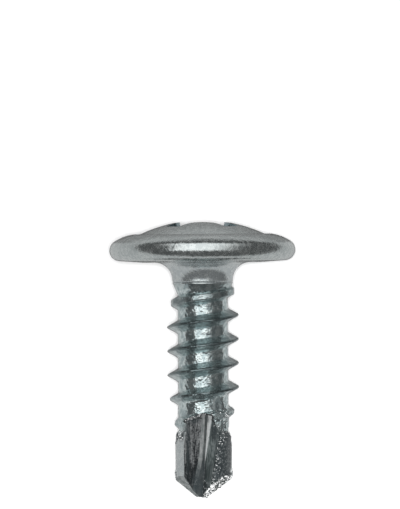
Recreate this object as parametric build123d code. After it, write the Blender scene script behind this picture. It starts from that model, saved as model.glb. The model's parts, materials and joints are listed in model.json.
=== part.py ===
from build123d import *
import math
import os

# A self-drilling screw: a low domed washer head with a cross recess, a short rolled thread
# and a forged drill point with two flutes. It is one solid of plated steel.
#
# The screw is modelled upright, with its axis on Z, its head up and Z = 0 on the bearing
# plane under the head. Depths are measured down from that plane. Azimuths turn from +X
# towards +Y. Lengths are in mm and angles in degrees.
#
# It is then laid on its side, where it comes to rest on the rim of its head and on both
# edges of one flute, with the tip towards -Y.

# Dome of the head
CROWN_HEIGHT = 2.42
CROWN_ARC = 14.0  # radius of the flat arc over the middle
CROWN_SPREAD = 1.65  # radius where the flat arc gives way to the steeper one
DOME_ARC = 8.6
DOME_RADIUS = 3.72  # where the dome meets the flange

# Washer flange around the dome
HEAD_RADIUS = 5.47
WIDEST_HEIGHT = 0.72
EDGE_ROUND = 0.55
EDGE_SWEEP = 45.0  # of the round above the widest point
BEVEL_SLOPE = 33.0  # of the bevel from that round down to the bearing plane

# Cross recess, size 2
RECESS_SPAN = 5.05  # across the tips of two opposite wings
RECESS_RIM_HEIGHT = 2.15
RECESS_TURN = 45.0
RECESS_DEPTH = 2.0
RECESS_FLOOR_DROP = 0.3
RECESS_FLOOR_SHARE = 0.35  # size of the lowest part of the floor, as a share of the floor
WING_WIDTH = 1.08
WING_DRAFT = 1.5
WING_END_SLOPE = 26.5
WING_FLARE = 1.25
FLARE_TAPER = 0.25  # loss of flare radius for each mm of depth

# Neck and shank
NECK_RADIUS = 1.775
NECK_SWEEP = 1.05  # height and width of the curve into the underside
NECK_PULL = 0.55  # how far both ends of that curve reach for the corner, as a share
NECK_LENGTH = 0.2
NECK_TAPER = 0.65
ROOT_RADIUS = 1.467
LENGTH = 13.79  # from the bearing plane to the tip

# Right-hand thread
THREAD_RADIUS = 2.095
PITCH = 1.411
THREAD_AZIMUTH = 0.0  # of the crest at the depth below
THREAD_DEPTH = 3.1
THREAD_CREST_WIDTH = 0.07
FLANK_ANGLE = 28.5
BURIAL = 0.08  # how far the ridge reaches into the root
SECTIONS_PER_TURN = 10

# Fading ends of the thread
FADE_IN_DEPTH = 1.3
FADE_IN_LENGTH = 0.4
BLUNT_RADIUS = 1.87
BLUNT_LENGTH = 0.7
FILL_LENGTH = 0.5
FADE_OUT_LENGTH = 1.95
STUB_RADIUS = 1.7
STUB_LENGTH = 0.45

# Drill point
DRILL_LENGTH = 3.94  # from its shoulder to the tip
DRILL_RADIUS = 1.65
SHOULDER_CHAMFER = 0.3
POINT_HEIGHT = 0.99  # from the outer corners to the tip
CHISEL_LENGTH = 0.7
LIP_SLOPE = -0.22  # fall of a relief facet along Y, on the lip's side
HEEL_SLOPE = 0.54

# Flutes
FLUTE_LENGTH = 5.0
FLUTE_PEAK = 0.5  # from the axis across to where the flute is longest
FLUTE_END_RISE = 13.0  # slopes of the two end walls that meet there
FLUTE_END_FALL = 67.0
FLUTE_END_LEAN = 18.0
FLUTE_REACH = 2.4  # length of the cutting tool's sides, as a share of the flute's walls
HEEL_AZIMUTH = 225.8
LIP_AZIMUTH = 279.6  # at the tip
LIP_TWIST = 7.5  # degrees for each mm up from the tip
FLOOR_LEAN = 4.1
FLOOR_CROSSING = 0.88  # height above the tip where the floor's middle crosses the axis
FLOOR_WIDTH = 0.1  # at the tip
FLOOR_SPREAD = 0.085  # gain of width for each mm up from the tip
WEB = 0.54  # left between the floors of the two flutes

CLEARANCE = 1.0  # how far a cutting tool stands clear of the screw
SETTLING_ROUNDS = 20  # of the sum for the attitude at rest


def tan(angle):
    """Tangent of an angle in degrees."""
    return math.tan(math.radians(angle))


def polar(radius, azimuth):
    """Point at a radius and azimuth."""
    turn = math.radians(azimuth)
    return Vector(radius * math.cos(turn), radius * math.sin(turn))


def dome_and_flange():
    """Outline of the head, from the crown out and round the rim to its underside."""
    crown_sweep = math.degrees(math.asin(CROWN_SPREAD / CROWN_ARC))
    crown = CenterArc((0, CROWN_HEIGHT - CROWN_ARC), CROWN_ARC, 90, -crown_sweep)
    dome_start = math.degrees(math.acos(CROWN_SPREAD / DOME_ARC))
    dome_end = math.degrees(math.acos(DOME_RADIUS / DOME_ARC))
    dome_centre = (crown @ 1).Y - DOME_ARC * math.sin(math.radians(dome_start))
    dome = CenterArc((0, dome_centre), DOME_ARC, dome_start, dome_end - dome_start)
    rim_centre = (HEAD_RADIUS - EDGE_ROUND, WIDEST_HEIGHT)
    under_sweep = 90 - BEVEL_SLOPE
    rim = CenterArc(rim_centre, EDGE_ROUND, -under_sweep, under_sweep + EDGE_SWEEP)
    shoulder = TangentArc(rim @ 1, dome @ 1, tangent=rim % 1)
    return [crown, dome, shoulder, rim]


def underside_and_neck(rim_end):
    """Outline from the lower end of the rim, under the head and down the neck to the root."""
    bearing_edge = (rim_end.X - rim_end.Y / tan(BEVEL_SLOPE), 0)
    slack = NECK_SWEEP * (1 - NECK_PULL)
    neck_curve = Bezier(
        (NECK_RADIUS + NECK_SWEEP, 0),
        (NECK_RADIUS + slack, 0),
        (NECK_RADIUS, -slack),
        (NECK_RADIUS, -NECK_SWEEP),
    )
    underside = Polyline(rim_end, bearing_edge, neck_curve @ 0)
    neck_depth = NECK_SWEEP + NECK_LENGTH
    neck = Polyline(
        neck_curve @ 1,
        (NECK_RADIUS, -neck_depth),
        (ROOT_RADIUS, -neck_depth - NECK_TAPER),
    )
    return [underside, neck_curve, neck]


def turned_body():
    """Head, neck and root cylinder as one turned body, which ends inside the drill point."""
    end_depth = LENGTH - DRILL_LENGTH / 2
    outline = dome_and_flange()
    outline += underside_and_neck(outline[-1] @ 0)
    root = Polyline(outline[-1] @ 1, (ROOT_RADIUS, -end_depth), (0, -end_depth), (0, CROWN_HEIGHT))
    edges = [edge for line in outline + [root] for edge in line.edges()]
    return revolve(Plane.XZ * make_face(Wire(edges)), Axis.Z)


def drill_blank():
    """Round bar, with a chamfered shoulder, that the drill point is cut from."""
    blank = Cylinder(DRILL_RADIUS, DRILL_LENGTH, align=(Align.CENTER, Align.CENTER, Align.MIN))
    blank = chamfer(blank.edges().sort_by(Axis.Z)[-1], SHOULDER_CHAMFER)
    return Pos(0, 0, -LENGTH) * blank


def thread_stages():
    """Depths and crest radii between which the thread's height changes evenly."""
    blunt_start = FADE_IN_DEPTH + FADE_IN_LENGTH
    blunt_end = blunt_start + BLUNT_LENGTH
    end = LENGTH - DRILL_LENGTH
    stub = end - STUB_LENGTH
    return [
        (FADE_IN_DEPTH, ROOT_RADIUS - BURIAL),
        (blunt_start, BLUNT_RADIUS),
        (blunt_end, BLUNT_RADIUS),
        (blunt_end + FILL_LENGTH, THREAD_RADIUS),
        (stub - FADE_OUT_LENGTH, THREAD_RADIUS),
        (stub, STUB_RADIUS),
        (end, ROOT_RADIUS - BURIAL),
    ]


def crest_radius(depth):
    """Radius of the thread's crest at a depth."""
    stages = thread_stages()
    for (start, start_radius), (end, end_radius) in zip(stages, stages[1:]):
        if depth <= end:
            share = max(0.0, (depth - start) / (end - start))
            return start_radius + (end_radius - start_radius) * share
    return stages[-1][1]


def thread_section(azimuth):
    """Section of the thread's ridge in the half plane at an azimuth counted along the helix."""
    depth = THREAD_DEPTH - PITCH * (azimuth - THREAD_AZIMUTH) / 360
    crest = crest_radius(depth)
    foot = min(ROOT_RADIUS, crest) - BURIAL
    crest_half = THREAD_CREST_WIDTH / 2 + (THREAD_RADIUS - crest) * tan(FLANK_ANGLE)
    foot_half = THREAD_CREST_WIDTH / 2 + (THREAD_RADIUS - foot) * tan(FLANK_ANGLE)
    outline = Polyline(
        (foot, -foot_half),
        (crest, -crest_half),
        (crest, crest_half),
        (foot, foot_half),
        close=True,
    )
    outward = polar(1, azimuth)
    half_plane = Plane(
        origin=(0, 0, -depth), x_dir=outward, z_dir=outward.cross(Vector(0, 0, 1))
    )
    return make_face(half_plane * outline)


def thread():
    """Helical ridge as a list of single turns, each lofted through sections along the helix."""
    stages = thread_stages()
    start = THREAD_AZIMUTH + (THREAD_DEPTH - stages[0][0]) / PITCH * 360
    end = THREAD_AZIMUTH + (THREAD_DEPTH - stages[-1][0]) / PITCH * 360
    turn_count = math.ceil((start - end) / 360)
    step = (start - end) / (turn_count * SECTIONS_PER_TURN)
    turns = []
    for turn in range(turn_count):
        first = turn * SECTIONS_PER_TURN
        places = range(first, first + SECTIONS_PER_TURN + 1)
        turns.append(loft([thread_section(start - step * place) for place in places]))
    return turns


def recess_outline(depth):
    """Cross with flared inner corners, at a depth below the recess's rim."""
    span = RECESS_SPAN - 2 * depth * tan(WING_END_SLOPE)
    width = WING_WIDTH - 2 * depth * tan(WING_DRAFT)
    cross = Rectangle(span, width) + Rectangle(width, span)
    corners = cross.vertices().sort_by_distance((0, 0, 0))[:4]
    cross = fillet(corners, WING_FLARE - depth * FLARE_TAPER)
    return Pos(0, 0, RECESS_RIM_HEIGHT - depth) * Rot(0, 0, RECESS_TURN) * cross


def recess():
    """Tapering cross that a driver enters, with a dished floor."""
    above_crown = RECESS_RIM_HEIGHT - CROWN_HEIGHT
    floor = recess_outline(RECESS_DEPTH)
    dish = Pos(0, 0, -RECESS_FLOOR_DROP) * scale(floor, by=RECESS_FLOOR_SHARE)
    walls = loft([recess_outline(above_crown), floor], ruled=True)
    return walls + loft([floor, dish], ruled=True)


def flute_section(height):
    """Trough with a flat floor, at a height above the tip, open towards -Y."""
    middle = (height - FLOOR_CROSSING) * tan(FLOOR_LEAN)
    half_width = (FLOOR_WIDTH + height * FLOOR_SPREAD) / 2
    heel_corner = Vector(middle - half_width, -WEB / 2)
    lip_corner = Vector(middle + half_width, -WEB / 2)
    heel = polar(DRILL_RADIUS, HEEL_AZIMUTH)
    lip = polar(DRILL_RADIUS, LIP_AZIMUTH + LIP_TWIST * height)
    section = Polygon(
        heel_corner,
        lip_corner,
        lip_corner + (lip - lip_corner) * FLUTE_REACH,
        heel_corner + (heel - heel_corner) * FLUTE_REACH,
        align=None,
    )
    return Pos(0, 0, height - LENGTH) * section


def flute():
    """Body that cuts one flute, ending in two slanted walls that meet on a ridge."""
    ends = [flute_section(FLUTE_LENGTH + CLEARANCE), flute_section(-CLEARANCE)]
    cutter = loft(ends, ruled=True)
    peak = (FLUTE_PEAK, -ROOT_RADIUS, FLUTE_LENGTH - LENGTH)
    for slope in (-tan(FLUTE_END_RISE), tan(FLUTE_END_FALL)):
        end_wall = Plane(origin=peak, z_dir=(slope, tan(FLUTE_END_LEAN), 1))
        cutter = split(cutter, bisect_by=end_wall, keep=Keep.BOTTOM)
    return cutter


def relief_planes():
    """Two facets on each half of the point, which meet on a ridge to its outer corner."""
    chisel_end = CHISEL_LENGTH / 2
    slope = POINT_HEIGHT / (DRILL_RADIUS - chisel_end)
    planes = []
    for side in (1, -1):
        for cross_slope in (LIP_SLOPE, HEEL_SLOPE):
            normal = (-side * slope, -side * cross_slope, 1)
            planes.append(Plane(origin=(side * chisel_end, 0, -LENGTH), z_dir=normal))
    return planes


def upright_screw():
    """The whole screw, standing on its tip."""
    screw = turned_body() + thread() + drill_blank() - recess()
    front_flute = flute()
    screw -= front_flute
    screw -= front_flute.rotate(Axis.Z, 180)
    for plane in relief_planes():
        screw = split(screw, bisect_by=plane, keep=Keep.TOP)
    return screw


def contact_depth(azimuth, cross_slope):
    """Depth at which a relief facet of the +X half meets the drill's edge at an azimuth."""
    chisel_end = CHISEL_LENGTH / 2
    slope = POINT_HEIGHT / (DRILL_RADIUS - chisel_end)
    corner = polar(DRILL_RADIUS, azimuth)
    return LENGTH - slope * (corner.X - chisel_end) - cross_slope * corner.Y


def resting_attitude():
    """Azimuth that faces the floor, and slope of the axis, when the screw lies at rest.

    The rim of the head touches the floor, and so do both edges of the lower flute at the
    drill's point. All three are then equally far down.
    """
    lip_depth = contact_depth(LIP_AZIMUTH, LIP_SLOPE)
    lip = LIP_AZIMUTH + LIP_TWIST * (LENGTH - lip_depth) - 180
    heel = HEEL_AZIMUTH - 180
    heel_depth = contact_depth(heel, HEEL_SLOPE)
    half_opening = (lip - heel) / 2
    slope = 0.0
    for _ in range(SETTLING_ROUNDS):
        shift = (lip_depth - heel_depth) * tan(slope)
        chord = 2 * DRILL_RADIUS * math.sin(math.radians(half_opening))
        down = (lip + heel) / 2 - math.degrees(math.asin(shift / chord))
        rim = HEAD_RADIUS - EDGE_ROUND + EDGE_ROUND / math.cos(math.radians(slope))
        edge = DRILL_RADIUS * math.cos(math.radians(down - heel))
        slope = math.degrees(math.atan((rim - edge) / (heel_depth + WIDEST_HEIGHT)))
    return down, slope


def lying_screw():
    """The screw at rest, with the middle of its bounding box's underside at the origin."""
    down, slope = resting_attitude()
    screw = upright_screw().rotate(Axis.Z, 90 - down).rotate(Axis.X, slope - 90)
    box = screw.bounding_box()
    middle = box.center()
    return Pos(-middle.X, -middle.Y, -box.min.Z) * screw


os.makedirs("parts", exist_ok=True)
export_step(lying_screw(), "parts/screw.step")
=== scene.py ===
"""A self-drilling screw of zinc-plated steel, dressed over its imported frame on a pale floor.

The screw is built upright in millimetres: its axis is Z, its head is up and Z = 0 is the
bearing plane under the head. Depths are measured down from that plane, heights up from the
tip, and azimuths turn from +X towards +Y. The finished mesh is then laid where the frame's
mounts say, in metres.
"""

import json
import logging
import math
from collections.abc import Iterable, Sequence
from dataclasses import dataclass, field
from enum import Enum
from functools import reduce

import bmesh
import bpy
import numpy as np
from mathutils import Matrix, Vector


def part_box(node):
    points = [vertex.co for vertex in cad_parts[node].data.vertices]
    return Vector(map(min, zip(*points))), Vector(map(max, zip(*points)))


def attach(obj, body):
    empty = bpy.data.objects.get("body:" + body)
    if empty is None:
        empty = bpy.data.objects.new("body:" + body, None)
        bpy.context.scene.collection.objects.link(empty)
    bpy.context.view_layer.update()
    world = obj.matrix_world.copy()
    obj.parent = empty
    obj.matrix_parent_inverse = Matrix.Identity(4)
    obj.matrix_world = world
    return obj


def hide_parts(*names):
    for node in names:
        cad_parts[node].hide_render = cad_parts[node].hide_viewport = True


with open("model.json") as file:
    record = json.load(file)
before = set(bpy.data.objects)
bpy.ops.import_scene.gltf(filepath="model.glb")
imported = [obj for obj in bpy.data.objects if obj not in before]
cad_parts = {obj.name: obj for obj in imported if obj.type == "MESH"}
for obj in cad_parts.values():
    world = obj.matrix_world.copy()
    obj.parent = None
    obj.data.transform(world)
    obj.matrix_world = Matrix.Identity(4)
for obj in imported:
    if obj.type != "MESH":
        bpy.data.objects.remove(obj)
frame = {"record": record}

LOG = logging.getLogger("screw")
MM = 0.001
MICRON = 1e-3
NODE = "screw"

Object = bpy.types.Object
Finish = bpy.types.Material
Socket = bpy.types.NodeSocket
Point = tuple[float, float]
Triple = tuple[float, float, float]
Ring = list[Triple]
Value = float | Socket
Inputs = dict[str | int, Value | Sequence[float]]


class Joining(Enum):
    """How one solid is joined to another."""

    UNION = "UNION"
    DIFFERENCE = "DIFFERENCE"


class Surface(Enum):
    """Finishes of the screw's skin. Most follow how the steel was formed; the recess and the
    flute walls wear tints that paint the shade in them, and one flute strip wears a painted
    highlight.
    """

    FORGED = "forged_head"
    DRAWN = "drawn_neck"
    ROLLED = "rolled_thread"
    # Recess: a dark tint that paints the shade falling in it.
    PUNCHED = "punched_recess"
    # Flute walls: their tints are painted shade for the shade in the flute, and on the streak a
    # painted highlight.
    PINCHED = "pinched_flute"
    SMEARED = "smeared_flute"
    CREASED = "creased_flute"
    STREAKED = "streaked_flute"
    WIPED = "wiped_flute"
    GROUND = "ground_heel"
    SHEARED = "sheared_lip"


# --- Tools for outlines, meshes and node trees ---


def polar(radius: float, azimuth: float) -> Vector:
    """Point at a radius and an azimuth in degrees."""
    turn = math.radians(azimuth)
    return Vector((radius * math.cos(turn), radius * math.sin(turn)))


def tan(angle: float) -> float:
    """Tangent of an angle in degrees."""
    return math.tan(math.radians(angle))


def steps(length: float, spacing: float) -> int:
    """Number of even steps, at least one, that a length is divided into."""
    return max(1, round(abs(length) / spacing))


def resampled(points: Sequence[Point], count: int) -> list[Point]:
    """Spreads a number of steps evenly along a line.

    Args:
        points: Corners of the line.
        count: Number of steps.

    Returns:
        The points between the steps, with both ends.
    """
    line = np.array(points)
    reach = np.concatenate([[0], np.cumsum(np.linalg.norm(np.diff(line, axis=0), axis=1))])
    places = np.linspace(0, reach[-1], count + 1)
    return [(float(np.interp(s, reach, line[:, 0])), float(np.interp(s, reach, line[:, 1])))
            for s in places]


class Pen:
    """Draws an outline in the half plane of radius and height, at an even spacing."""

    def __init__(self, start: Point, heading: float, spacing: float) -> None:
        """Puts the pen down.

        Args:
            start: Radius and height of the first point.
            heading: Direction of travel in degrees, 0 being outward and 90 up.
            spacing: Distance from point to point.
        """
        self.points: list[Point] = [start]
        self.heading = heading
        self.spacing = spacing

    def turn(self, radius: float, angle: float) -> None:
        """Follows an arc.

        Args:
            radius: Radius of the arc.
            angle: Change of heading in degrees, positive to the left.
        """
        start, heading = self.points[-1], math.radians(self.heading)
        signed = math.copysign(radius, angle)
        centre = (start[0] - signed * math.sin(heading), start[1] + signed * math.cos(heading))
        count = steps(radius * math.radians(angle), self.spacing)
        for step in range(1, count + 1):
            along = heading + math.radians(angle) * step / count
            self.points.append(
                (centre[0] + signed * math.sin(along), centre[1] - signed * math.cos(along))
            )
        self.heading += angle

    def curve_to(self, end: Point) -> None:
        """Follows the arc that leaves at the present heading and reaches a point.

        Args:
            end: Radius and height of the point.
        """
        start = self.points[-1]
        across = Vector((end[0] - start[0], end[1] - start[1]))
        bearing = math.degrees(math.atan2(across.y, across.x))
        half = (bearing - self.heading + 180) % 360 - 180
        self.turn(across.length / (2 * math.sin(math.radians(abs(half)))), 2 * half)

    def line_to(self, *ends: Point) -> None:
        """Draws straight lines from point to point.

        Args:
            *ends: Radius and height of each line's end.
        """
        for end in ends:
            start = self.points[-1]
            count = steps(math.dist(start, end), self.spacing)
            for share in (step / count for step in range(1, count + 1)):
                self.points.append((start[0] + (end[0] - start[0]) * share,
                                    start[1] + (end[1] - start[1]) * share))
            self.heading = math.degrees(math.atan2(end[1] - start[1], end[0] - start[0]))


def placed(name: str, data: bpy.types.ID) -> Object:
    """Makes an object and links it to the scene.

    Args:
        name: Name of the object.
        data: Its mesh, lamp or camera.

    Returns:
        The object.
    """
    made = bpy.data.objects.new(name, data)
    bpy.context.scene.collection.objects.link(made)
    return made


def face_outwards(mesh: bpy.types.Mesh) -> None:
    """Turns the faces of a closed mesh outwards.

    Args:
        mesh: Mesh to mend.
    """
    work = bmesh.new()
    work.from_mesh(mesh)
    bmesh.ops.recalc_face_normals(work, faces=work.faces)
    work.to_mesh(mesh)
    work.free()


def solid(name: str, points: Iterable[Sequence[float]], faces: Sequence[Sequence[int]],
          *finishes: Finish, slots: Sequence[int] = ()) -> Object:
    """Makes a closed mesh object whose faces point outwards.

    Args:
        name: Name of the object.
        points: Places of its vertices.
        faces: Vertex numbers of each face.
        *finishes: Materials of the skin.
        slots: Number of each face's material, or nothing where there is one material.

    Returns:
        The object, linked to the scene.
    """
    mesh = bpy.data.meshes.new(name)
    mesh.from_pydata([tuple(point) for point in points], [], faces)
    for finish in finishes:
        mesh.materials.append(finish)
    for face, slot in zip(mesh.polygons, slots):
        face.material_index = slot
    face_outwards(mesh)
    return placed(name, mesh)


def turned(name: str, outline: Sequence[Point], segments: int, finish: Finish) -> Object:
    """Turns an outline that starts and ends on the axis into a solid.

    Args:
        name: Name of the object.
        outline: Radius and height of each point, from one pole to the other.
        segments: Number of faces around.
        finish: Material of the skin.

    Returns:
        The turned solid.
    """
    rings = [
        [(*polar(radius, 360 * k / segments), height) for k in range(segments)]
        for radius, height in outline[1:-1]
    ]
    ends = ((0, 0, outline[0][1]), (0, 0, outline[-1][1]))
    return lofted(name, rings, finish, poles=ends)


def lofted(name: str, rings: Sequence[Ring], *finishes: Finish,
           poles: tuple[Sequence[float], Sequence[float]] | None = None,
           strips: Sequence[int] = ()) -> Object:
    """Joins closed rings of equal length into a solid with a fan at each end.

    Args:
        name: Name of the object.
        rings: Rings of points, in order.
        *finishes: Materials of the skin.
        poles: Middles of the two fans, or None for the middles of the end rings.
        strips: Number of the material between each point of a ring and the next.

    Returns:
        The lofted solid.
    """
    size = len(rings[0])
    points = [point for ring in rings for point in ring]
    ends = poles or tuple(np.mean(ring, axis=0) for ring in (rings[0], rings[-1]))
    points += [tuple(end) for end in ends]
    first, last = len(points) - 2, len(points) - 1
    faces: list[tuple[int, ...]] = []
    for row in range(len(rings) - 1):
        for k in range(size):
            a, b = row * size + k, row * size + (k + 1) % size
            faces.append((a, b, b + size, a + size))
    bottom = (len(rings) - 1) * size
    for k in range(size):
        faces.append((first, (k + 1) % size, k))
        faces.append((last, bottom + k, bottom + (k + 1) % size))
    return solid(name, points, faces, *finishes, slots=list(strips) * (len(rings) - 1))


def trimmed(body: Object, place: Sequence[float], outward: Sequence[float]) -> None:
    """Cuts a body along a plane, drops what lies outward of it and closes the cut.

    Args:
        body: Body to cut.
        place: A point of the plane.
        outward: Normal of the plane, towards what is dropped.
    """
    work = bmesh.new()
    work.from_mesh(body.data)
    geometry = work.verts[:] + work.edges[:] + work.faces[:]
    bmesh.ops.bisect_plane(work, geom=geometry, dist=MICRON / 100, plane_co=place,
                           plane_no=outward, clear_outer=True)
    rim = [edge for edge in work.edges if edge.is_boundary and on_plane(edge, place, outward)]
    cut = bmesh.ops.edgeloop_fill(work, edges=rim)["faces"]
    bmesh.ops.triangulate(work, faces=cut)
    work.to_mesh(body.data)
    work.free()


def on_plane(edge: bmesh.types.BMEdge, place: Sequence[float], normal: Sequence[float]) -> bool:
    """Whether both ends of an edge lie on a plane, to within a micron."""
    axis = Vector(normal).normalized()
    return all(abs((vert.co - Vector(place)).dot(axis)) < MICRON for vert in edge.verts)


def applied(body: Object, modifier: bpy.types.Modifier) -> None:
    """Keeps what a modifier makes as a body's plain mesh, and removes the modifier.

    Args:
        body: Body whose mesh is replaced.
        modifier: Its modifier.
    """
    evaluated = body.evaluated_get(bpy.context.evaluated_depsgraph_get())
    result = bpy.data.meshes.new_from_object(evaluated)
    body.modifiers.remove(modifier)
    body.data = result


def joined(body: Object, tool: Object, how: Joining) -> None:
    """Joins a second solid to a body or cuts it from the body, and removes the second.

    Args:
        body: Body whose mesh is replaced by the result.
        tool: The second solid, whose cut faces keep its material.
        how: Whether it is added or cut away.
    """
    step = body.modifiers.new(how.value, "BOOLEAN")
    step.operation = how.value
    step.solver = "MANIFOLD"
    step.material_mode = "TRANSFER"
    step.object = tool
    applied(body, step)
    bpy.data.objects.remove(tool)


class Sketch:
    """Adds nodes to one tree and joins them."""

    def __init__(self, tree: bpy.types.NodeTree) -> None:
        """Starts on a tree."""
        self.tree = tree

    def node(self, kind: str, inputs: Inputs | None = None,
             **settings: object) -> bpy.types.Node:
        """Adds one node.

        Args:
            kind: Type of the node.
            inputs: Values or sockets for its inputs, by name or number.
            **settings: Properties of the node.

        Returns:
            The node.
        """
        made = self.tree.nodes.new(kind)
        for name, value in settings.items():
            setattr(made, name, value)
        for name, value in (inputs or {}).items():
            self.feed(made.inputs[name], value)
        return made

    def out(self, kind: str, inputs: Inputs | None = None, **settings: object) -> Socket:
        """Adds one node and returns its first output."""
        return self.node(kind, inputs, **settings).outputs[0]

    def feed(self, socket: Socket, value: Value | Sequence[float]) -> None:
        """Gives a socket what it takes in.

        Args:
            socket: An input of a node.
            value: Socket to link it to, or the value to set.
        """
        if isinstance(value, Socket):
            self.tree.links.new(value, socket)
        else:
            socket.default_value = value

    def calc(self, operation: str, *values: Value) -> Socket:
        """Adds a Math node and returns its result."""
        return self.out("ShaderNodeMath", dict(enumerate(values)), operation=operation)

    def product(self, *values: Value) -> Socket:
        """Adds Math nodes that multiply several values."""
        return self.fold("MULTIPLY", *values)

    def fold(self, operation: str, *values: Value) -> Socket:
        """Adds Math nodes that take in several values one by one."""
        return reduce(lambda left, right: self.calc(operation, left, right), values)

    def span(self, value: Value, low: Value, high: Value, start: Value = 0.0, end: Value = 1.0,
             style: str = "LINEAR", clamp: bool = True) -> Socket:
        """Maps a value from one range to another.

        Args:
            value: What is mapped.
            low: Lower end of the first range.
            high: Upper end of the first range.
            start: What the lower end becomes.
            end: What the upper end becomes.
            style: Interpolation of the Map Range node.
            clamp: Whether the result stays between start and end.

        Returns:
            The mapped value.
        """
        ends = {0: value, 1: low, 2: high, 3: start, 4: end}
        return self.out("ShaderNodeMapRange", ends, interpolation_type=style, clamp=clamp)

    def soft(self, value: Value, low: Value, high: Value, start: Value = 0.0,
             end: Value = 1.0) -> Socket:
        """Maps a value as span does, with a soft start and end."""
        return self.span(value, low, high, start, end, "SMOOTHSTEP")

    def mix(self, share: Value, start: Value, end: Value) -> Socket:
        """Adds a Mix node between two numbers."""
        return self.out("ShaderNodeMix", {"Factor": share, "A": start, "B": end})

    def blend(self, share: Value, *ends: Socket | Sequence[float]) -> Socket:
        """Adds a Mix node between two colours, whose sockets share names among data types."""
        inputs = dict(zip((0, 6, 7), (share, *ends)))
        return self.node("ShaderNodeMix", inputs, data_type="RGBA").outputs[2]

    def grain(self, place: Socket, scale: Value, detail: float = 2.0,
              roughness: float = 0.5) -> Socket:
        """Adds a noise pattern and returns its value, which is 0.5 on average."""
        inputs = {"Vector": place, "Scale": scale, "Detail": detail, "Roughness": roughness}
        return self.out("ShaderNodeTexNoise", inputs)

    def combine(self, *parts: Value) -> Socket:
        """Makes a vector of three values."""
        return self.out("ShaderNodeCombineXYZ", dict(enumerate(parts)))

    def parts(self, vector: Socket) -> list[Socket]:
        """Takes a vector's three values."""
        return list(self.node("ShaderNodeSeparateXYZ", {0: vector}).outputs)

    def vector(self, operation: str, *values: Value | Sequence[float]) -> bpy.types.Node:
        """Adds a Vector Math node."""
        return self.node("ShaderNodeVectorMath", dict(enumerate(values)), operation=operation)

    def written(self, name: str) -> Socket:
        """Reads a number that is written on the mesh's points."""
        return self.out("GeometryNodeInputNamedAttribute", {"Name": name})

    def close(self, geometry: Socket, finish: Socket, **limits: Socket) -> bpy.types.NodeTree:
        """Ends a Geometry Nodes tree with plain geometry that wears a finish.

        Args:
            geometry: What the tree has made.
            finish: The material.
            **limits: Which faces wear it, if not all.

        Returns:
            The tree.
        """
        loose = self.out("GeometryNodeRealizeInstances", {"Geometry": geometry})
        dressed = self.out("GeometryNodeSetMaterial",
                           {"Geometry": loose, "Material": finish, **limits})
        self.node("NodeGroupOutput", {"Geometry": dressed})
        return self.tree


def node_rule(name: str, sizes: Iterable[str],
              takes_mesh: bool) -> tuple[Sketch, dict[str, Socket]]:
    """Starts a Geometry Nodes tree with named inputs.

    Args:
        name: Name of the tree.
        sizes: Names of its number inputs.
        takes_mesh: Whether a mesh goes in.

    Returns:
        A sketch of the tree, and its inputs by name.
    """
    tree = bpy.data.node_groups.new(name, "GeometryNodeTree")
    sockets = tree.interface
    sockets.new_socket("Geometry", in_out="OUTPUT", socket_type="NodeSocketGeometry")
    if takes_mesh:
        sockets.new_socket("Geometry", in_out="INPUT", socket_type="NodeSocketGeometry")
    sockets.new_socket("Finish", in_out="INPUT", socket_type="NodeSocketMaterial")
    for size in sizes:
        sockets.new_socket(size, in_out="INPUT", socket_type="NodeSocketFloat")
    sketch = Sketch(tree)
    return sketch, {given.name: given for given in sketch.node("NodeGroupInput").outputs}


def grown(host: Object, tree: bpy.types.NodeTree, values: dict[str, float | Finish]) -> None:
    """Runs a Geometry Nodes tree on an object and keeps the result as its plain mesh.

    Args:
        host: Object whose mesh is replaced.
        tree: The tree to run.
        values: Values of the tree's inputs, by name.
    """
    rule = host.modifiers.new(tree.name, "NODES")
    rule.node_group = tree
    for item in tree.interface.items_tree:
        if item.in_out == "INPUT" and item.name in values:
            rule[item.identifier] = values[item.name]
    applied(host, rule)


# --- The screw's place ---


@dataclass(frozen=True)
class Attitude:
    """How the upright screw lies in the frame."""

    bearing: Vector
    axis: Vector
    floor_azimuth: float = 63.42

    @classmethod
    def from_record(cls, record: dict) -> "Attitude":
        """Reads the bearing face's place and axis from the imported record."""
        face = next(m for m in record["mounts"] if m["name"] == "bearing_face")
        return cls(Vector(face["pos_m"]), -Vector(face["axis"]))

    def sides(self) -> tuple[Vector, Vector]:
        """Finds how the upright screw is turned about its axis.

        Returns:
            Directions in the frame of its +X and +Y.
        """
        down = Vector((0, 0, -1))
        down = (down - self.axis * down.dot(self.axis)).normalized()
        x_side = Matrix.Rotation(-math.radians(self.floor_azimuth), 3, self.axis) @ down
        return x_side, self.axis.cross(x_side)

    def direction(self, azimuth: float) -> Vector:
        """Lays a direction across the upright screw in the frame.

        Args:
            azimuth: Azimuth of the direction.

        Returns:
            The direction in the frame.
        """
        x_side, y_side = self.sides()
        across = polar(1, azimuth)
        return x_side * across.x + y_side * across.y

    def matrix(self) -> Matrix:
        """Matrix from the upright screw in millimetres to the frame in metres."""
        turn = Matrix((*self.sides(), self.axis)).transposed().to_4x4()
        return Matrix.Translation(self.bearing) @ turn @ Matrix.Scale(MM, 4)


# --- Forms ---


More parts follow.
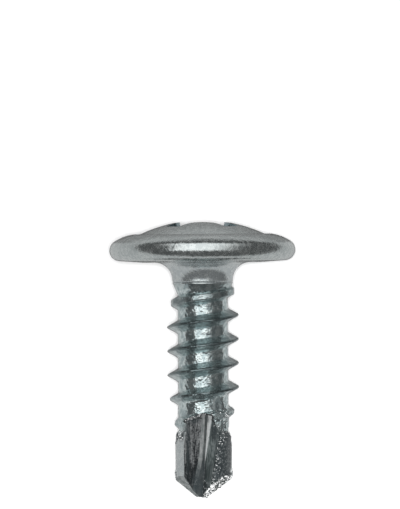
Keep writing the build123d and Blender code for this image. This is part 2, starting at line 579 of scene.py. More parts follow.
@dataclass(frozen=True)
class Head:
    """Low dome with a washer flange, and the filleted neck under it."""

    crown_height: float = 2.42
    crown_arc: float = 14.0
    crown_spread: float = 1.65
    dome_arc: float = 8.6
    dome_radius: float = 3.78
    radius: float = 5.47
    widest_height: float = 0.72
    edge_round: float = 0.6
    edge_sweep: float = 55.0
    shoulder_arc: float = 2.6
    shoulder_sweep: float = 27.5
    rim_round: float = 0.62
    underside_slope: float = 4.0
    neck_radius: float = 1.775
    neck_fillet: float = 1.05
    neck_length: float = 0.2
    line_height: float = 0.05
    line_depth: float = 0.035
    drawn_share: float = 0.7
    spacing: float = 0.06
    segments: int = 200

    def dome_height(self, radius: float) -> float:
        """Finds the height of the dome outside the crown.

        Args:
            radius: Radius of the place.

        Returns:
            Its height.
        """
        crown_edge = self.crown_height - self.crown_arc
        crown_edge += math.sqrt(self.crown_arc**2 - self.crown_spread**2)
        centre = crown_edge - math.sqrt(self.dome_arc**2 - self.crown_spread**2)
        return centre + math.sqrt(self.dome_arc**2 - radius**2)

    def top(self) -> list[Point]:
        """Draws the outline from the widest point up and in to the crown.

        Returns:
            Radius and height of each point.
        """
        pen = Pen((self.radius, self.widest_height), 90, self.spacing)
        pen.turn(self.edge_round, self.edge_sweep)
        pen.turn(self.shoulder_arc, self.shoulder_sweep)
        pen.curve_to((self.dome_radius, self.dome_height(self.dome_radius)))
        start, end = (
            math.degrees(math.asin(radius / self.dome_arc))
            for radius in (self.dome_radius, self.crown_spread)
        )
        pen.heading = 180 - start
        pen.turn(self.dome_arc, start - end)
        slope = math.degrees(math.asin(self.crown_spread / self.crown_arc))
        pen.heading = 180 - slope
        pen.turn(self.crown_arc, slope)
        return [*pen.points[:-1], (0.0, self.crown_height)]

    def under(self) -> list[Point]:
        """Draws the outline from the widest point under the flange and down the neck.

        Returns:
            Radius and height of each point, to the axis.
        """
        pen = Pen((self.radius, self.widest_height), -90, self.spacing)
        pen.turn(self.rim_round, self.underside_slope - 90)
        outer = pen.points[-1]
        pen.line_to((outer[0] - outer[1] / tan(self.underside_slope), 0),
                    (self.neck_radius + self.neck_fillet, 0))
        pen.turn(self.neck_fillet, 90)
        line = [(self.neck_radius - inset, -self.neck_fillet - self.line_height * step)
                for step, inset in ((1, 0), (2, self.line_depth), (3, 0))]
        foot = -self.neck_fillet - self.neck_length
        pen.line_to(*line, (self.neck_radius, foot), (0, foot))
        return pen.points[1:]

    def build(self, finish: Finish, neck: Finish) -> Object:
        """Turns the head and neck as one solid.

        Args:
            finish: Material of the head.
            neck: Material of the neck.

        Returns:
            The solid.
        """
        outline = list(reversed(self.top())) + self.under()
        made = turned("head", outline, self.segments, finish)
        made.data.materials.append(neck)
        reach = self.neck_radius + self.neck_fillet * self.drawn_share
        for face in made.data.polygons:
            place = face.center
            if place.z < 0 and math.hypot(place.x, place.y) < reach:
                face.material_index = 1
        return made


@dataclass(frozen=True)
class Recess:
    """Cross recess that tapers to a dished floor."""

    span: float = 5.05
    rim_height: float = 2.15
    turn: float = 45.0
    depth: float = 2.0
    floor_drop: float = 0.3
    floor_share: float = 0.35
    floor_levels: int = 8
    wing_width: float = 1.08
    wing_draft: float = 1.5
    wing_end_slope: float = 26.5
    flare: float = 1.25
    flare_taper: float = 0.25
    corner: float = 0.12
    levels: int = 26
    above: float = 0.6
    spacing: float = 0.08
    quarter_steps: int = 56

    def ring(self, depth: float) -> Ring:
        """Draws the cross.

        Args:
            depth: Depth below the recess's rim.

        Returns:
            Points around the cross.
        """
        reach = self.span / 2 - depth * tan(self.wing_end_slope)
        half = self.wing_width / 2 - depth * tan(self.wing_draft)
        flare = self.flare - depth * self.flare_taper
        pen = Pen((reach, 0), 90, self.spacing)
        pen.line_to((reach, half - self.corner))
        pen.turn(self.corner, 90)
        pen.line_to((half + flare, half))
        pen.turn(flare, -90)
        pen.line_to((half, reach - self.corner))
        pen.turn(self.corner, 90)
        pen.line_to((0, reach))
        quarter = resampled(pen.points, self.quarter_steps)[:-1]
        spins = [Matrix.Rotation(math.radians(self.turn + 90 * wing), 2) for wing in range(4)]
        return [(*(spin @ Vector(point)), self.rim_height - depth)
                for spin in spins for point in quarter]

    def cutter(self, finish: Finish) -> Object:
        """Makes the body that is cut from the head.

        Args:
            finish: Material that it leaves.

        Returns:
            The cutter.
        """
        rings = [self.ring(at) for at in np.linspace(-self.above, self.depth, self.levels)]
        for share in np.linspace(1, self.floor_share, self.floor_levels)[1:]:
            drop = self.floor_drop * (1 - share) / (1 - self.floor_share)
            rings.append([(x * share, y * share, z - drop) for x, y, z in self.ring(self.depth)])
        return lofted("recess", rings, finish)


@dataclass(frozen=True)
class Thread:
    """Rolled thread on its root cylinder, grown as one helical band.

    The crest crosses azimuth 0 at one depth. It starts blunt, fills out, fades to a stub
    and ends, and its last turn is mangled.
    """

    radius: float = 2.095
    root: float = 1.467
    pitch: float = 1.411
    depth: float = 3.1
    crest_width: float = 0.07
    faded_share: float = 0.45
    flank_angle: float = 28.5
    crest_blend: float = 0.035
    root_blend: float = 0.16
    core_radius: float = 1.745
    taper_start: float = 1.25
    taper_length: float = 0.65
    fade_in: float = 1.3
    fade_in_length: float = 0.4
    blunt_radius: float = 1.86
    blunt_length: float = 0.7
    fill_length: float = 0.5
    stub: float = 9.4
    stub_radius: float = 1.63
    stub_length: float = 0.45
    fade_out_length: float = 1.95
    top: float = 0.35
    bottom: float = 11.8
    columns: int = 120
    rows: int = 30
    crowding: float = 0.25
    lumps: float = 0.035
    root_lumps: float = 0.3
    slow_scale: float = 1.1
    quick_scale: float = 3.1
    mangling: float = 0.3
    mangled_lean: float = 1.2
    mangle_start: float = 7.9
    mangle_end: float = 9.3
    seed: float = 3.7
    weld: float = MICRON / 10

    def inputs(self) -> dict[str, float]:
        """Works out the sizes that the rule takes.

        Returns:
            The sizes by name, those of the class's own fields first.
        """
        own = ("pitch", "crowding", "root", "core_radius", "taper_start", "faded_share",
               "crest_blend", "root_blend", "fade_in", "stub", "stub_radius", "lumps",
               "root_lumps", "mangling", "mangled_lean", "mangle_start", "mangle_end", "seed")
        first = self.top - self.pitch
        count = round((self.bottom + self.pitch - first) / self.pitch * self.columns)
        blunt_start = self.fade_in + self.fade_in_length
        blunt_end = blunt_start + self.blunt_length
        return {name.replace("_", " ").capitalize(): getattr(self, name) for name in own} | {
            "Columns": count + 1, "Rows": self.rows + 1, "Turns": count / self.columns,
            "First depth": first,
            "First azimuth": (self.depth - first) / self.pitch * math.tau,
            "Taper end": self.taper_start + self.taper_length, "Crest": self.radius,
            "Above crest": self.crest_width / 2 / tan(self.flank_angle),
            "Flank": tan(self.flank_angle), "Blunt": self.blunt_radius,
            "Blunt start": blunt_start, "Blunt end": blunt_end,
            "Full": blunt_end + self.fill_length,
            "Fade out": self.stub - self.fade_out_length, "End": self.stub + self.stub_length,
        }

    def crest(self, sketch: Sketch, size: dict[str, Socket], depth: Socket) -> Socket:
        """Adds the nodes that give the crest's radius.

        Args:
            sketch: Sketch of the tree.
            size: Inputs of the tree, by name.
            depth: Depth along the helix.

        Returns:
            The radius at that depth.
        """
        rise = sketch.span(depth, size["Fade in"], size["Blunt start"], size["Root"],
                           size["Blunt"], clamp=False)
        fill = sketch.span(depth, size["Blunt end"], size["Full"], size["Blunt"], size["Crest"])
        fade = sketch.span(depth, size["Fade out"], size["Stub"], size["Crest"],
                           size["Stub radius"])
        drop = sketch.span(depth, size["Stub"], size["End"], size["Stub radius"], size["Root"],
                           clamp=False)
        return sketch.fold("MINIMUM", rise, fill, fade, drop)

    def rule(self) -> bpy.types.NodeTree:
        """Builds the tree that winds the band round the axis and gives it its section.

        Returns:
            The tree.
        """
        sketch, size = node_rule("thread_rule", self.inputs(), takes_mesh=False)
        calc, product = sketch.calc, sketch.product
        band = sketch.out("GeometryNodeMeshGrid", {
            "Size X": 1.0, "Size Y": 1.0, "Vertices X": size["Rows"],
            "Vertices Y": size["Columns"]})
        across, along, _ = sketch.parts(sketch.out("GeometryNodeInputPosition"))
        # Rows crowd together towards the crest, in the middle of the band.
        spread = sketch.span(product(across, across, 4.0), 0.0, 1.0, size["Crowding"], 1.0)
        offset = product(across, spread, size["Pitch"])
        turn = product(calc("ADD", along, 0.5), size["Turns"])
        angle = calc("SUBTRACT", size["First azimuth"], product(turn, math.tau))
        helix = calc("MULTIPLY_ADD", turn, size["Pitch"], size["First depth"])
        depth = calc("SUBTRACT", helix, offset)
        cosine, sine, height = calc("COSINE", angle), calc("SINE", angle), product(depth, -1.0)

        def wound(radius: Socket) -> Socket:
            """Place of each of the band's points at a radius."""
            return sketch.combine(product(cosine, radius), product(sine, radius), height)

        spot = sketch.vector("ADD", wound(size["Root"]),
                             sketch.combine(size["Seed"], 0.0, 0.0)).outputs[0]
        slow, quick = (calc("SUBTRACT", sketch.grain(spot, scale), 0.5)
                       for scale in (self.slow_scale, self.quick_scale))
        ragged = product(sketch.soft(helix, size["Mangle start"], size["Mangle end"]),
                         size["Mangling"])
        even = self.crest(sketch, size, helix)
        crest = calc("ADD", even, product(quick, calc("ADD", ragged, size["Lumps"])))
        faded = product(calc("MAXIMUM", calc("SUBTRACT", size["Crest"], even), 0.0),
                        sketch.span(helix, size["Full"], size["Fade out"], 1.0,
                                    size["Faded share"]))
        apex = calc("ADD", calc("ADD", even, size["Above crest"]), faded)
        lean = calc("MULTIPLY_ADD", product(slow, ragged), size["Mangled lean"], offset)
        flank = calc("SUBTRACT", apex, calc("DIVIDE", calc("ABSOLUTE", lean), size["Flank"]))
        ridge = calc("SMOOTH_MIN", crest, flank, size["Crest blend"])
        root = sketch.span(depth, size["Taper start"], size["Taper end"], size["Core radius"],
                           size["Root"])
        radius = calc("SMOOTH_MAX", root, ridge, size["Root blend"])
        lumpy = calc("MULTIPLY_ADD", quick, product(size["Lumps"], size["Root lumps"]), radius)
        moved = sketch.out("GeometryNodeSetPosition",
                           {"Geometry": band, "Position": wound(lumpy)})
        merged = sketch.out("GeometryNodeMergeByDistance",
                            {"Geometry": moved, "Distance": self.weld})
        return sketch.close(merged, size["Finish"])

    def build(self, finish: Finish) -> Object:
        """Grows the threaded rod and closes both of its ends.

        Args:
            finish: Material of the rod.

        Returns:
            The rod.
        """
        rod = solid("thread", [], [], finish)
        grown(rod, self.rule(), {**self.inputs(), "Finish": finish})
        trimmed(rod, (0, 0, -self.top), (0, 0, 1))
        trimmed(rod, (0, 0, -self.bottom), (0, 0, -1))
        face_outwards(rod.data)
        return rod


@dataclass(frozen=True)
class Crease:
    """Line along the flute where two of its walls meet.

    Its place is counted across the screw, and its depth from the axis towards the front.
    Below a level it bends by a further angle.
    """

    place: float
    lean: float
    depth: float
    deepening: float = 0.0
    bend: float = 0.0
    level: float = 2.2

    def at(self, height: float) -> Vector:
        """Finds a point of the crease.

        Args:
            height: Height above the tip.

        Returns:
            Place of the point across the screw.
        """
        rise = height - self.level
        across = self.place + rise * tan(self.lean) + min(0.0, rise) * tan(self.bend)
        return Vector((across, -self.depth - max(0.0, rise) * self.deepening))


@dataclass(frozen=True)
class DrillPoint:
    """Forged point with two flutes and four relief facets."""

    length: float = 13.79
    drill_length: float = 3.94
    radius: float = 1.65
    shoulder_round: float = 0.38
    lip_side: Point = (0.7435, 0.174)
    heel_side: Point = (0.8325, 0.449)
    lip_slope: float = -0.38
    heel_slope: float = 0.54
    root: float = 1.467
    end_corner: Point = (-0.03, 4.96)
    side_corner: Point = (0.53, 4.75)
    end_rise: float = 17.0
    end_fall: float = 17.0
    side_fall: float = 65.0
    end_lean: float = 18.0
    groove_lean: float = 3.0
    heel_azimuth: float = 225.8
    lip_azimuth: float = 279.6
    lip_twist: float = 7.5
    creases: tuple[Crease, ...] = (
        Crease(-0.31, 4.9, 0.44, bend=7.0),
        Crease(-0.075, 4.0, 0.37, bend=9.0),
        Crease(0.065, 4.5, 0.27),
        Crease(0.10, 9.4, 0.30, 0.11),
    )
    narrowest: float = 0.02
    floor_steps: int = 4
    reach: float = 2.3
    flute_start: float = -0.5
    groove_start: float = 3.1
    groove_reach: float = 2.0
    groove_steps: int = 20
    above_end: float = 0.8
    grinding_reach: float = 1.9
    grinding_depth: float = 6.0
    grinding_steps: int = 70
    spacing: float = 0.06
    segments: int = 176

    def blank(self, finish: Finish) -> Object:
        """Makes a round bar with a rounded shoulder.

        Args:
            finish: Material of the bar.

        Returns:
            The bar.
        """
        top = self.drill_length - self.length
        pen = Pen((0, top), 0, self.spacing)
        pen.line_to((self.radius - self.shoulder_round, top))
        pen.turn(self.shoulder_round, -90)
        pen.line_to((self.radius, -self.length), (0, -self.length))
        return turned("point", pen.points, self.segments, finish)

    def lip(self, height: float) -> Vector:
        """Cutting edge of the front flute at a height above the tip."""
        return polar(self.radius, self.lip_azimuth + self.lip_twist * height)

    def floor(self, height: float) -> list[Vector]:
        """Finds the creases, kept in order where they run together.

        Args:
            height: Height above the tip.

        Returns:
            Place of each crease across the screw.
        """
        places = [crease.at(height) for crease in self.creases]
        for before, after in zip(places, places[1:]):
            after.x = max(after.x, before.x + self.narrowest)
        return places

    def section(self, height: float) -> tuple[Ring, list[int]]:
        """Draws the outline of the front flute.

        Args:
            height: Height above the tip.

        Returns:
            Points of the outline, and the number of the finish of each of its walls.
        """
        floor = self.floor(height)
        ends = [polar(self.radius, self.heel_azimuth), *floor, self.lip(height)]
        wall = steps(self.reach, self.spacing)
        heel_way = (ends[0] - ends[1]).normalized() * self.reach
        lip_way = (ends[-1] - ends[-2]).normalized() * self.reach
        points = [floor[0] + heel_way * (1 - k / wall) for k in range(wall)]
        strips = [0] * wall
        for number, (start, end) in enumerate(zip(floor, floor[1:]), start=1):
            points += [start.lerp(end, k / self.floor_steps) for k in range(self.floor_steps)]
            strips += [number] * self.floor_steps
        points += [floor[-1] + lip_way * k / wall for k in range(wall + 1)]
        strips += [len(floor)] * (wall + 1)
        return [(q.x, q.y, height - self.length) for q in points], strips

    def sections(self, start: float) -> list[tuple[Ring, list[int]]]:
        """Outlines of the front flute from a height to above its end."""
        heights = np.arange(start, self.end_corner[1] + self.above_end, self.spacing)
        return [self.section(height) for height in heights]

    def flute(self, finishes: Sequence[Finish]) -> Object:
        """Makes the body that cuts the front flute, with a pitched roof where it runs out.

        Args:
            finishes: Materials of its walls.

        Returns:
            The cutter.
        """
        rings, strips = zip(*self.sections(self.flute_start))
        cutter = lofted("flute", rings, *finishes, strips=strips[0])
        self.roof(cutter, self.end_lean, (self.end_rise, -self.end_fall, -self.side_fall))
        return cutter

    def groove(self, finishes: Sequence[Finish]) -> Object:
        """Makes the body that carries the flute's floor up through its end wall.

        Args:
            finishes: Materials of its walls.

        Returns:
            The cutter.
        """
        wall = steps(self.reach, self.spacing)
        out = np.linspace(0, self.groove_reach, self.groove_steps)[1:]
        sections = self.sections(self.groove_start)
        rings: list[Ring] = []
        for ring, _ in sections:
            floor = ring[wall:-wall]
            right = [(floor[-1][0], floor[-1][1] - y, floor[-1][2]) for y in out]
            left = [(floor[0][0], floor[0][1] - y, floor[0][2]) for y in reversed(out)]
            rings.append([*floor, *right, *left])
        strips = sections[0][1][wall:-wall - 1]
        strips += [len(self.creases)] * len(out) + [0] * (len(out) + 1)
        cutter = lofted("groove", rings, *finishes, strips=strips)
        self.roof(cutter, self.groove_lean, (-self.end_fall, -self.side_fall))
        return cutter

    def roof(self, cutter: Object, lean: float, slopes: Sequence[float]) -> None:
        """Closes the top of a cutter with planes.

        Args:
            cutter: The cutter.
            lean: Angle at which the planes lean outwards.
            slopes: Angle at which each slopes across.
        """
        for slope in slopes:
            corner = self.side_corner if slope == -self.side_fall else self.end_corner
            place = (corner[0], -self.root, corner[1] - self.length)
            trimmed(cutter, place, (-tan(slope), tan(lean), 1))

    def facet(self, side: int, cross_slope: float, x: float, y: float) -> float:
        """Height above the tip of a relief facet at a place across the point."""
        slope, chisel_end = self.lip_side if side > 0 else self.heel_side
        return slope * (side * x - chisel_end) + side * cross_slope * y

    def relief(self, side: int, cross_slope: float, finish: Finish) -> Object:
        """Makes a slab whose top face grinds one relief facet.

        Args:
            side: 1 or -1, for the side of the point.
            cross_slope: Slope of the facet along the lip.
            finish: Material that it leaves.

        Returns:
            The slab.
        """
        size, count = self.grinding_reach, self.grinding_steps
        grid = np.linspace(-size, size, count)
        points = [(x, y, self.facet(side, cross_slope, x, y) - self.length)
                  for x in grid for y in grid]
        points += [(x, y, -self.length - self.grinding_depth)
                   for x in (-size, size) for y in (-size, size)]
        faces = [(i * count + j, (i + 1) * count + j, (i + 1) * count + j + 1, i * count + j + 1)
                 for i in range(count - 1) for j in range(count - 1)]
        last, low, line = (count - 1) * count, count * count, range(count)
        faces.append((*line, low + 1, low))
        faces.append((*(last + j for j in reversed(line)), low + 2, low + 3))
        faces.append((*(i * count for i in reversed(line)), low, low + 2))
        faces.append((*(i * count + count - 1 for i in line), low + 3, low + 1))
        faces.append((low, low + 1, low + 3, low + 2))
        return solid("relief", points, faces, finish)

    def roof_height(self, x: float, y: float) -> float:
        """Height above the tip of the flute's sloping end over its heel side."""
        return (self.end_corner[1] + tan(self.end_rise) * (x - self.end_corner[0])
                - tan(self.end_lean) * (y + self.root))


@dataclass(frozen=True)
class SkinPatch:
    """Patch on the skin, placed across the screw and by its height above the tip: a tear, a
    scuff, a speck, a dent or a patch of painted shade.
    """

    across: float
    height: float
    half_width: float
    half_height: float
    strength: float = 1.0

    def weight(self, across: float, height: float) -> float:
        """Finds the patch's strength, nearly even inside it and fading at its edge.

        Args:
            across: Place across the screw.
            height: Height above the tip.

        Returns:
            The strength there.
        """
        u = (across - self.across) / self.half_width
        v = (height - self.height) / self.half_height
        return self.strength * math.exp(-((u * u + v * v) ** 2))


@dataclass(frozen=True)
class Burrs:
    """Torn and folded metal that the forming of the point left behind.

    Tears roughen the skin, scuffs darken it, patches of painted shade darken the flute's walls
    where shade falls in the flute, and specks gather chips.
    The shares are the wear on the lip, on the land behind it and on the flute's upper edge.
    """

    point: DrillPoint
    lip_width: float = 0.06
    lip_top: float = 3.85
    edge_width: float = 0.045
    edge_radius: float = 1.35
    edge_left: float = -1.15
    edge_above: float = 0.2
    facet_reach: float = 0.03
    speckle_reach: float = 0.38
    rim_depth: float = 0.03
    hub_radius: float = 0.2
    overlap: float = 0.35
    tears: tuple[SkinPatch, ...] = (
        SkinPatch(1.05, 4.65, 0.62, 0.78),
        SkinPatch(1.3, 3.72, 0.45, 0.2, 0.8),
        SkinPatch(-1.4, 3.75, 0.3, 0.3, 0.9),
        SkinPatch(0.5, 5.06, 0.14, 0.1, 0.9),
        SkinPatch(0.57, 3.4, 0.08, 0.08),
        SkinPatch(0.1, 1.02, 0.08, 0.08),
        SkinPatch(1.62, 3.22, 0.1, 0.1, 0.8),
        SkinPatch(1.62, 1.4, 0.1, 0.22, 0.8),
    )
    # Patches of painted shade on the flute's walls, where shade falls inside the flute.
    flute_shade_patches: tuple[SkinPatch, ...] = (
        SkinPatch(-0.02, 0.45, 0.32, 0.6),
        SkinPatch(-0.45, 0.8, 0.36, 0.75),
        SkinPatch(-0.3, 1.5, 0.22, 0.5, 0.8),
        SkinPatch(0.0, 1.5, 0.2, 0.9, 0.9),
        SkinPatch(0.62, 3.8, 0.22, 0.6, 0.95),
        SkinPatch(0.75, 2.9, 0.12, 0.7, 0.7),
        SkinPatch(-1.03, 3.0, 0.24, 1.9, 0.95),
        SkinPatch(-0.6, 4.55, 0.5, 0.25, 0.8),
    )
    scuffs: tuple[SkinPatch, ...] = (
        SkinPatch(-1.33, 3.6, 0.22, 0.3),
        SkinPatch(-1.45, 11.5, 0.4, 0.22, 0.75),
        SkinPatch(0.8, 5.35, 0.22, 0.55, 0.9),
        SkinPatch(1.2, 4.75, 0.3, 0.22, 0.85),
        SkinPatch(1.1, 4.1, 0.25, 0.2, 0.85),
    )
    specks: tuple[SkinPatch, ...] = (
        SkinPatch(1.15, 3.82, 0.32, 0.09),
        SkinPatch(1.63, 3.3, 0.05, 0.2),
        SkinPatch(1.63, 1.4, 0.05, 0.25),
        SkinPatch(-1.33, 3.6, 0.2, 0.27, 0.6),
        SkinPatch(0.0, 0.7, 0.3, 0.45, 0.14),
        SkinPatch(0.55, 5.0, 0.1, 0.12, 0.8),
        SkinPatch(0.78, 5.04, 0.2, 0.06, 0.9),
        SkinPatch(1.1, 4.93, 0.18, 0.06, 0.9),
        SkinPatch(1.4, 4.77, 0.18, 0.07, 0.9),
        SkinPatch(0.85, 4.35, 0.14, 0.16, 0.8),
        SkinPatch(0.08, 0.98, 0.05, 0.06),
    )
    dents: tuple[SkinPatch, ...] = (SkinPatch(-1.6, 3.6, 0.6, 0.36, 0.13),)
    dent_top: float = 5.2
    dent_radius: float = 1.4
    wear_top: float = 7.4
    torn_shares: Triple = (0.8, 0.4, 0.6)
    chip_shares: Triple = (1.0, 0.3, 0.6)
    facet_chips: float = 0.14
    tear_chips: float = 0.1
    speck_chips: float = 0.7
    land_width: float = 58.0
    land_fade: float = 8.0
    land_lead: float = 3.0
    flute_radius: float = 1.5
    scuff_top: float = 12.2
    coarse: float = 0.12
    coarse_scale: float = 3.8
    fine: float = 0.05
    fine_scale: float = 9.0
    lift: float = 2.6
    chip_gap: float = 0.055
    chip_density: float = 260.0
    chip_size: Point = (0.016, 0.045)
    seed: int = 4

    def patches(self, patches: Sequence[SkinPatch], place: Sequence[float]) -> float:
        """Finds the strongest of some patches, each of them on both sides of the screw.

        Args:
            patches: The patches.
            place: A place on the upright screw.

        Returns:
            Their strength there.
        """
        x, y, z = place
        fronts = [x] if y < self.overlap else []
        fronts += [-x] if y > -self.overlap else []
        return max(patch.weight(across, z + self.point.length)
                   for patch in patches for across in fronts)

    @staticmethod
    def turned_front(place: Sequence[float]) -> Sequence[float]:
        """The same place on the front half, for a screw that is alike half a turn on."""
        return (-place[0], -place[1], place[2]) if place[1] > 0 else place

    def sheared(self, place: Sequence[float]) -> float:
        """Tells whether a place lies on one of the two relief facets behind the lips.

        Args:
            place: A place on the upright screw.

        Returns:
            1 if it does, else 0.
        """
        x, y, z = self.turned_front(place)
        facet = self.point.facet(1, self.point.lip_slope, x, y)
        return float(abs(z + self.point.length - facet) < self.facet_reach and x > 0.0)

    def edges(self, place: Sequence[float]) -> tuple[float, float, float]:
        """Finds how near a place is to the edges that the forming tore.

        Args:
            place: A place on the upright screw.

        Returns:
            Weights on the lip, on the land behind it and on the flute's upper edge.
        """
        x, y, z = self.turned_front(place)
        height, radius = z + self.point.length, math.hypot(x, y)
        if height > self.point.end_corner[1] + self.edge_above or radius < self.hub_radius:
            return 0.0, 0.0, 0.0
        lip = self.point.lip(height)
        along = height < self.lip_top
        off = math.hypot(x - lip.x, y - lip.y) / self.lip_width
        on_lip = math.exp(-off * off) if along else 0.0
        behind = along and radius > self.point.radius - self.rim_depth and x > lip.x
        on_land = max(0.0, 1 - (x - lip.x) / self.speckle_reach) if behind else 0.0
        off = abs(height - self.point.roof_height(x, y)) / self.edge_width
        above = radius > self.edge_radius and self.edge_left < x < 0.0
        return on_lip, on_land, math.exp(-off * off) if above else 0.0

    def worst(self, place: Sequence[float], shares: Triple, *others: float) -> float:
        """Strongest of the wear on the edges and other wear at a place."""
        edges = (share * weight for share, weight in zip(shares, self.edges(place)))
        return max(*edges, *others)

    def torn(self, place: Sequence[float]) -> float:
        """Finds how torn the skin is.

        Args:
            place: A place on the upright screw.

        Returns:
            How torn it is, from 0 to 1.
        """
        if place[2] + self.point.length > self.wear_top:
            return 0.0
        return self.worst(place, self.torn_shares, self.sheared(place),
                          self.patches(self.tears, place))

    def chipped(self, place: Sequence[float]) -> float:
        """Finds how many chips sit at a place.

        Args:
            place: A place on the upright screw.

        Returns:
            How closely they sit, from 0 to 1.
        """
        if place[2] + self.point.length > self.wear_top:
            return 0.0
        return self.worst(place, self.chip_shares, self.facet_chips * self.sheared(place),
                          self.tear_chips * self.patches(self.tears, place) ** 2,
                          self.speck_chips * self.patches(self.specks, place))

    def scrapes_and_shade(self, place: Sequence[float]) -> float:
        """Finds how far a place is darkened: scuffs scrape the plating to dark steel, the land
        behind each lip is darkened, and inside the flute the darkening is painted shade.

        Args:
            place: A place on the upright screw.

        Returns:
            How far, from 0 to 1.
        """
        x, y, z = place
        height = z + self.point.length
        if height > self.scuff_top:
            return 0.0
        # Inside the flute the darkening is painted shade, laid in patches.
        if math.hypot(x, y) < self.flute_radius and height < self.point.end_corner[1]:
            return self.patches(self.flute_shade_patches, place)
        scuffed = self.patches(self.scuffs, place)
        if height > self.point.drill_length:
            return scuffed
        start = (self.point.lip_azimuth + self.point.lip_twist * height) % 180
        past = math.degrees(math.atan2(y, x)) % 180 - start
        land = (self.land_width - past) / self.land_fade if past > -self.land_lead else 0.0
        return max(min(1.0, max(0.0, land)), scuffed)

    def dent(self, body: Object) -> None:
        """Presses the dents into the body, towards its axis.

        Args:
            body: The upright screw.
        """
        for vert in body.data.vertices:
            x, y, z = vert.co
            radius = math.hypot(x, y)
            if z + self.point.length < self.dent_top and radius > self.dent_radius:
                share = 1 - self.patches(self.dents, vert.co) / radius
                vert.co.x, vert.co.y = x * share, y * share

    def skin_rule(self) -> bpy.types.NodeTree:
        """Builds the tree that roughens the torn skin and bares the sheared metal.

        Returns:
            The tree.
        """
        sketch, given = node_rule("torn_skin_rule", ("Coarse", "Fine"), takes_mesh=True)
        place = sketch.out("GeometryNodeInputPosition")
        wide, narrow = (sketch.calc("SUBTRACT", sketch.grain(place, scale, 1.0), 0.5)
                        for scale in (self.coarse_scale, self.fine_scale))
        lift = sketch.calc("MULTIPLY_ADD", narrow, given["Fine"],
                           sketch.product(wide, given["Coarse"]))
        lift = sketch.product(lift, self.lift, sketch.written("torn"))
        shift = sketch.vector("SCALE", sketch.out("GeometryNodeInputNormal"))
        sketch.feed(shift.inputs["Scale"], lift)
        skin = sketch.out("GeometryNodeSetPosition",
                          {"Geometry": given["Geometry"], "Offset": shift.outputs[0]})
        bare = sketch.calc("GREATER_THAN", sketch.written("sheared"), 0.5)
        return sketch.close(skin, given["Finish"], Selection=bare)

    def chip_rule(self) -> bpy.types.NodeTree:
        """Builds the tree that scatters chips over the torn skin.

        Returns:
            The tree.
        """
        sizes = ("Gap", "Density", "Smallest", "Largest", "Seed")
        sketch, given = node_rule("chip_rule", sizes, takes_mesh=True)
        spots = sketch.out("GeometryNodeDistributePointsOnFaces", {
            "Mesh": given["Geometry"], "Distance Min": given["Gap"],
            "Density Max": given["Density"], "Density Factor": sketch.written("chipped"),
            "Seed": given["Seed"]}, distribute_method="POISSON")
        chip = sketch.out("GeometryNodeMeshIcoSphere", {"Radius": 1.0, "Subdivisions": 1})
        spin = sketch.out("FunctionNodeRandomValue", {"Min": (0.0,) * 3, "Max": (math.tau,) * 3},
                          data_type="FLOAT_VECTOR")
        girth = sketch.out("FunctionNodeRandomValue", {
            end: sketch.combine(*[given[size]] * 3)
            for end, size in (("Min", "Smallest"), ("Max", "Largest"))},
            data_type="FLOAT_VECTOR")
        chips = sketch.out("GeometryNodeInstanceOnPoints", {
            "Points": spots, "Instance": chip, "Rotation": spin, "Scale": girth})
        return sketch.close(chips, given["Finish"])

    def mark(self, body: Object) -> None:
        """Writes the wear weights on a body's points.

        Args:
            body: The upright screw.
        """
        for rule in (self.torn, self.chipped, self.sheared, self.scrapes_and_shade):
            old = body.data.attributes.get(rule.__name__)
            if old:
                body.data.attributes.remove(old)
            layer = body.data.attributes.new(rule.__name__, "FLOAT", "POINT")
            layer.data.foreach_set("value", [rule(vert.co) for vert in body.data.vertices])

    def raise_on(self, body: Object, finish: Finish) -> None:
        """Dents a body, roughens its torn parts and joins chips to them.

        Args:
            body: The upright screw.
            finish: Material of the sheared metal.
        """
        self.dent(body)
        self.mark(body)
        grown(body, self.skin_rule(), {"Coarse": self.coarse, "Fine": self.fine,
                                       "Finish": finish})
        chips = placed("chips", body.data.copy())
        grown(chips, self.chip_rule(), {
            "Gap": self.chip_gap, "Density": self.chip_density, "Smallest": self.chip_size[0],
            "Largest": self.chip_size[1], "Seed": float(self.seed), "Finish": finish,
        })
        LOG.info("chips: %d faces", len(chips.data.polygons))
        joined(body, chips, Joining.UNION)
        self.mark(body)


# --- Finishes ---


# Dark colour of scraped steel, also used for the painted shade inside the flute.
BARE_AND_SHADE = (0.034, 0.042, 0.045)


